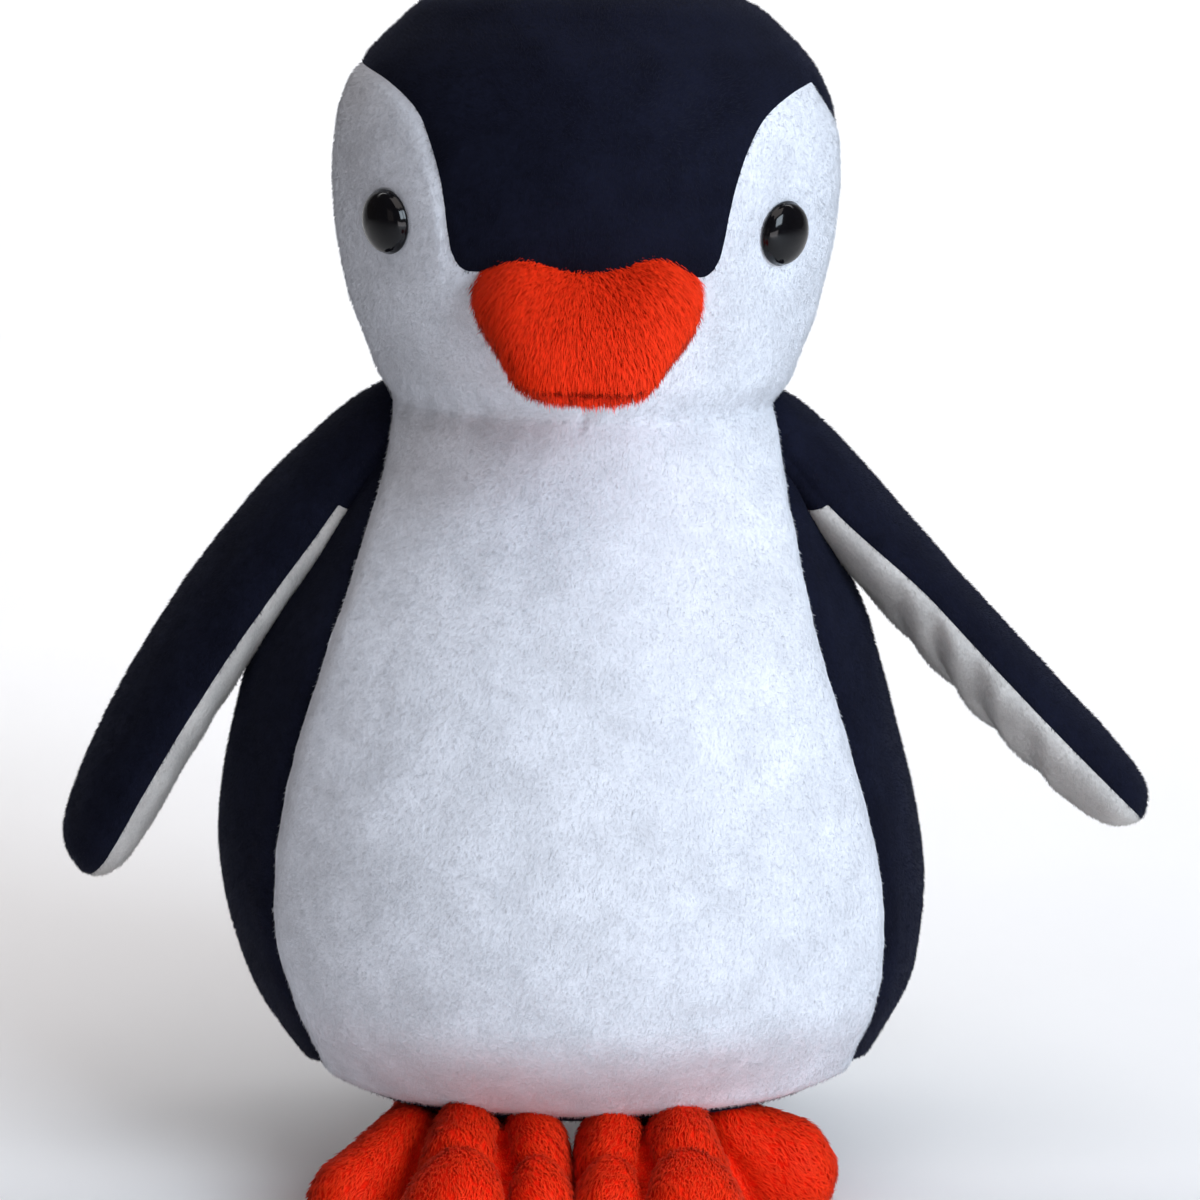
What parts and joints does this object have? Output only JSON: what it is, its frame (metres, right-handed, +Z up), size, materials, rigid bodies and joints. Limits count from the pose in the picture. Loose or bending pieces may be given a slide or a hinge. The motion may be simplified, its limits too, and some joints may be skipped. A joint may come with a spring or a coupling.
{
  "type": "plush penguin",
  "caption": "Stuffed plush penguin standing on its toed feet, with black back and cap, white belly and cheeks, orange-red beak and feet, and flippers held out.",
  "frame": {"origin": "middle of the toy's box, on the surface that it stands on", "axes": "+Z up, -Y the way the penguin faces, +X its own left side"},
  "size_m": [0.3582, 0.2162, 0.3909],
  "materials": {
    "black_plush": "matte",
    "white_plush": "matte",
    "orange_red_plush": "matte",
    "eye_plastic": "gloss",
    "washer_plastic": "satin",
    "polyester_fill": "matte"
  },
  "bodies": {
    "torso": {"belly_panel": "white_plush", "left_body_panel": "black_plush", "right_body_panel": "black_plush", "base_panel": "black_plush", "body_stuffing": "polyester_fill"},
    "head": {"crown_panel": "black_plush", "head_back_panel": "black_plush", "left_cheek_panel": "white_plush", "right_cheek_panel": "white_plush", "head_stuffing": "polyester_fill", "left_eye": "eye_plastic", "left_eye_washer": "washer_plastic", "right_eye": "eye_plastic", "right_eye_washer": "washer_plastic", "beak_upper_panel": "orange_red_plush", "beak_lower_panel": "orange_red_plush", "beak_stuffing": "polyester_fill"},
    "left_flipper": {"left_flipper_outer_panel": "black_plush", "left_flipper_inner_panel": "white_plush", "left_flipper_stuffing": "polyester_fill"},
    "right_flipper": {"right_flipper_outer_panel": "black_plush", "right_flipper_inner_panel": "white_plush", "right_flipper_stuffing": "polyester_fill"},
    "left_foot": {"left_foot_top_panel": "orange_red_plush", "left_foot_sole_panel": "orange_red_plush", "left_foot_stuffing": "polyester_fill"},
    "right_foot": {"right_foot_top_panel": "orange_red_plush", "right_foot_sole_panel": "orange_red_plush", "right_foot_stuffing": "polyester_fill"}
  },
  "joints": [
    {"name": "head_nod", "type": "hinge", "parent": "torso", "child": "head", "pos_m": [-0.00868, 0.00642, 0.215], "axis": [1, 0, 0], "range_deg": [-10, 10], "stiffness_Nm_per_rad": 3},
    {"name": "left_flipper_flap", "type": "hinge", "parent": "torso", "child": "left_flipper", "pos_m": [0.06532, 0.00642, 0.239], "axis": [0, -1, 0], "range_deg": [-10, 50], "stiffness_Nm_per_rad": 0.25, "springref_deg": 3.44},
    {"name": "right_flipper_flap", "type": "hinge", "parent": "torso", "child": "right_flipper", "pos_m": [-0.08268, 0.00642, 0.239], "axis": [0, 1, 0], "range_deg": [0, 60], "stiffness_Nm_per_rad": 0.25, "springref_deg": 2.86},
    {"name": "left_foot_fold", "type": "hinge", "parent": "torso", "child": "left_foot", "pos_m": [0.02432, -0.06758, 0.041], "axis": [-1, 0, 0], "range_deg": [0, 25], "stiffness_Nm_per_rad": 0.2, "springref_deg": -11.46},
    {"name": "right_foot_fold", "type": "hinge", "parent": "torso", "child": "right_foot", "pos_m": [-0.04968, -0.06758, 0.041], "axis": [-1, 0, 0], "range_deg": [0, 25], "stiffness_Nm_per_rad": 0.2, "springref_deg": -11.46}
  ]
}
